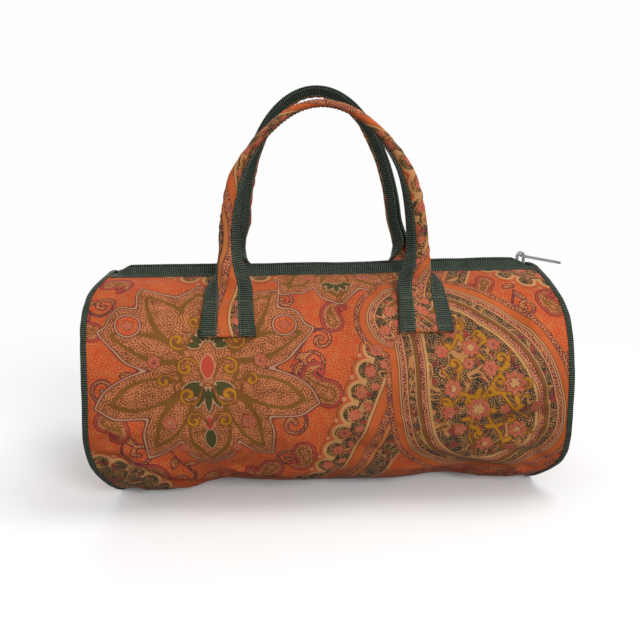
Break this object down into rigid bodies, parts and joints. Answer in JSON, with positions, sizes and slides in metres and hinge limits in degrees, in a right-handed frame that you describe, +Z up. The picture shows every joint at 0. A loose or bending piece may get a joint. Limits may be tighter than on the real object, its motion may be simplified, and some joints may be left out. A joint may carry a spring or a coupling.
{
  "type": "mini boston bag",
  "caption": "Soft barrel-shaped bag of paisley-printed cloth with round ends, dark green ribbed ribbon bindings, a zip along the top and folded carrying handles.",
  "frame": {"origin": "on the floor under the middle of the bag's length and depth", "axes": "+X along the bag towards the zip's closed end, -Y the front, +Z up"},
  "size_m": [0.3137, 0.1554, 0.2642],
  "materials": {
    "printed_cloth": "woven cotton with an all-over paisley print, matt",
    "ribbon": "dark green ribbed grosgrain ribbon",
    "zip_tape": "dark green woven zip tape",
    "zip_teeth": "dark green moulded nylon",
    "metal": "worn grey nickel plating"
  },
  "bodies": {
    "bag": {"body_panel": "printed_cloth", "left_end_panel": "printed_cloth", "right_end_panel": "printed_cloth", "left_end_binding": "ribbon", "right_end_binding": "ribbon", "front_zip_ribbon": "ribbon", "back_zip_ribbon": "ribbon", "front_zip_tape": "zip_tape", "back_zip_tape": "zip_tape", "front_zip_teeth": "zip_teeth", "back_zip_teeth": "zip_teeth", "front_handle_strap": "printed_cloth", "front_handle_outer_ribbon": "ribbon", "front_handle_inner_ribbon": "ribbon", "back_handle_strap": "printed_cloth", "back_handle_outer_ribbon": "ribbon", "back_handle_inner_ribbon": "ribbon"},
    "slider": {"zip_slider": "metal"},
    "pull": {"zip_pull": "metal"}
  },
  "joints": [
    {"name": "zip_slide", "type": "slide", "parent": "bag", "child": "slider", "axis": [1, 0, 0], "range_m": [-0.264, 0], "deforming": ["front_zip_teeth", "back_zip_teeth"]},
    {"name": "pull_hinge", "type": "hinge", "parent": "slider", "child": "pull", "pos_m": [0.1351, 0, 0.1525], "axis": [0, 1, 0], "range_deg": [-200, 0]}
  ]
}
